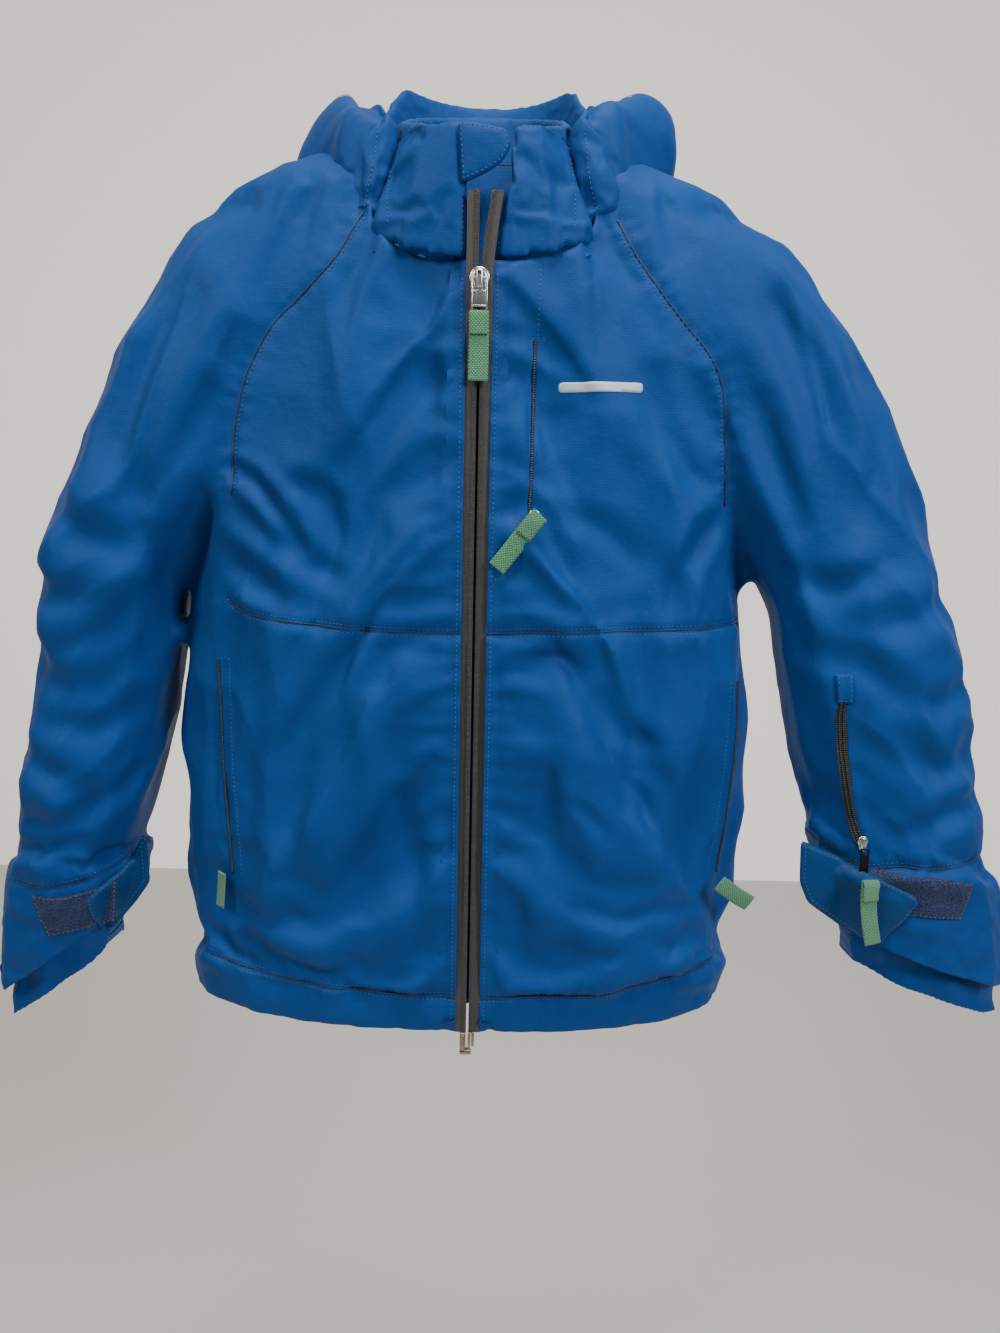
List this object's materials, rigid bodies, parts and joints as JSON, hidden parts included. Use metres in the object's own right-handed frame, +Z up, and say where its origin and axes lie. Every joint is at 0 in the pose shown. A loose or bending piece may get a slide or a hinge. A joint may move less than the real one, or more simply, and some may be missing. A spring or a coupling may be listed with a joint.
{
  "type": "ski jacket",
  "caption": "Child-size insulated hooded ski jacket with a front zip, chest, hand and sleeve pocket zips, stand collar, chin guard and hook-and-loop cuff tabs.",
  "frame": {"origin": "point where a hanger's neck comes up through the collar, level with the top of the shoulders", "axes": "+Z up along the front zip, -Y out of the front, +X towards the wearer's left"},
  "size_m": [0.7873, 0.2285, 0.731],
  "materials": {
    "blue_shell": "matt ripstop nylon, cobalt blue",
    "teal_tab": "matt coated nylon",
    "grey_lining": "smooth woven polyester",
    "white_fill": "synthetic fill",
    "zip_tape": "woven tape with nylon coil",
    "black_coil": "black nylon coil on black tape",
    "green_webbing": "basket weave webbing",
    "loop_tape": "loop pile tape",
    "silver_metal": "bright plated zinc",
    "antique_metal": "dull antique plating",
    "black_metal": "satin black",
    "reflective": "retroreflective transfer"
  },
  "bodies": {
    "jacket": {"front_right_upper": "blue_shell", "front_right_lower": "blue_shell", "shoulder_right": "blue_shell", "shoulder_cap_right": "blue_shell", "collar_right": "blue_shell", "hood_right": "blue_shell", "hand_pocket_bag_right": "grey_lining", "zip_half_right": "zip_tape", "hand_right_zip": "black_coil", "front_left_upper": "blue_shell", "front_left_lower": "blue_shell", "shoulder_left": "blue_shell", "shoulder_cap_left": "blue_shell", "collar_left": "blue_shell", "hood_left": "blue_shell", "hand_pocket_bag_left": "grey_lining", "zip_half_left": "zip_tape", "hand_left_zip": "black_coil", "back_panel": "blue_shell", "hem_band": "blue_shell", "collar_back": "blue_shell", "draft_flap": "blue_shell", "hood_center": "blue_shell", "insulation_body": "white_fill", "lining_body": "grey_lining", "chest_pocket_bag": "grey_lining", "hood_lining": "grey_lining", "reflective_bar": "reflective", "zip_box": "antique_metal", "chest_zip": "black_coil"},
    "upper_sleeve_right": {"sleeve_upper_right": "blue_shell", "lining_sleeve_upper_right": "grey_lining"},
    "forearm_right": {"elbow_fold_right": "blue_shell", "sleeve_lower_right": "blue_shell", "cuff_right": "blue_shell", "inner_cuff_right": "blue_shell", "loop_patch_right": "loop_tape", "lining_sleeve_lower_right": "grey_lining"},
    "cuff_flap_right": {"cuff_tab_right": "teal_tab"},
    "hand_zip_slider_right": {"hand_right_pull": "green_webbing"},
    "upper_sleeve_left": {"sleeve_upper_left": "blue_shell", "lining_sleeve_upper_left": "grey_lining"},
    "forearm_left": {"elbow_fold_left": "blue_shell", "sleeve_lower_left": "blue_shell", "cuff_left": "blue_shell", "inner_cuff_left": "blue_shell", "loop_patch_left": "loop_tape", "lining_sleeve_lower_left": "grey_lining", "sleeve_pocket_zip": "black_coil"},
    "cuff_flap_left": {"cuff_tab_left": "teal_tab"},
    "hand_zip_slider_left": {"hand_left_pull": "green_webbing"},
    "front_zip_slider": {"main_slider": "silver_metal"},
    "front_zip_pull": {"main_pull_frame": "silver_metal", "main_pull_webbing": "green_webbing"},
    "chest_zip_slider": {"chest_slider": "silver_metal"},
    "chest_zip_pull": {"chest_webbing": "green_webbing"},
    "sleeve_zip_slider": {"sleeve_pocket_slider": "silver_metal"},
    "sleeve_zip_pull": {"sleeve_pocket_pull": "black_metal", "sleeve_pocket_webbing": "green_webbing"},
    "chin_flap": {"chin_guard": "blue_shell"}
  },
  "joints": [
    {"name": "shoulder_right_lift", "type": "hinge", "parent": "jacket", "child": "upper_sleeve_right", "pos_m": [-0.184, 0, -0.096], "axis": [0, 1, 0], "range_deg": [0, 50], "deforming": ["shoulder_cap_right"]},
    {"name": "shoulder_left_lift", "type": "hinge", "parent": "jacket", "child": "upper_sleeve_left", "pos_m": [0.186, 0, -0.098], "axis": [0, -1, 0], "range_deg": [0, 50], "deforming": ["shoulder_cap_left"]},
    {"name": "elbow_right_bend", "type": "hinge", "parent": "upper_sleeve_right", "child": "forearm_right", "pos_m": [-0.28, -0.012, -0.316], "axis": [-1, 0, 0], "range_deg": [0, 80], "deforming": ["elbow_fold_right"]},
    {"name": "elbow_left_bend", "type": "hinge", "parent": "upper_sleeve_left", "child": "forearm_left", "pos_m": [0.289, -0.03, -0.316], "axis": [-1, 0, 0], "range_deg": [0, 80], "deforming": ["elbow_fold_left"]},
    {"name": "front_zip_run", "type": "slide", "parent": "jacket", "child": "front_zip_slider", "axis": [0, 0, -1], "range_m": [0, 0.505]},
    {"name": "front_pull_swing", "type": "hinge", "parent": "front_zip_slider", "child": "front_zip_pull", "pos_m": [0, -0.0984, -0.104], "axis": [-1, 0, 0], "range_deg": [0, 120]},
    {"name": "chest_zip_run", "type": "slide", "parent": "jacket", "child": "chest_zip_slider", "axis": [0, 0.021, 0.9998], "range_m": [0, 0.105]},
    {"name": "chest_pull_swing", "type": "hinge", "parent": "chest_zip_slider", "child": "chest_zip_pull", "pos_m": [0.04164, -0.09803, -0.25592], "axis": [-0.7874, -0.0186, 0.6162], "range_deg": [0, 120]},
    {"name": "sleeve_zip_run", "type": "slide", "parent": "forearm_left", "child": "sleeve_zip_slider", "axis": [-0.2361, 0.0124, 0.9716], "range_m": [0, 0.085]},
    {"name": "sleeve_pull_swing", "type": "hinge", "parent": "sleeve_zip_slider", "child": "sleeve_zip_pull", "pos_m": [0.28736, -0.0786, -0.48402], "axis": [-0.9365, 0.3432, -0.0719], "range_deg": [0, 95]},
    {"name": "hand_zip_right_run", "type": "slide", "parent": "jacket", "child": "hand_zip_slider_right", "axis": [-0.0512, 0.0262, 0.9983], "range_m": [0, 0.13]},
    {"name": "hand_zip_left_run", "type": "slide", "parent": "jacket", "child": "hand_zip_slider_left", "axis": [0.0512, 0.0143, 0.9986], "range_m": [0, 0.13]},
    {"name": "cuff_tab_right_peel", "type": "hinge", "parent": "forearm_right", "child": "cuff_flap_right", "pos_m": [-0.2655, -0.0225, -0.539], "axis": [0.2173, 0, 0.9761], "range_deg": [0, 60]},
    {"name": "cuff_tab_left_peel", "type": "hinge", "parent": "forearm_left", "child": "cuff_flap_left", "pos_m": [0.264, -0.041, -0.515], "axis": [0.1807, 0, -0.9835], "range_deg": [0, 85], "deforming": ["sleeve_pocket_webbing"]},
    {"name": "chin_guard_fold", "type": "hinge", "parent": "jacket", "child": "chin_flap", "pos_m": [-0.013, -0.0915, -0.027], "axis": [0, 0, -1], "range_deg": [0, 110]}
  ]
}
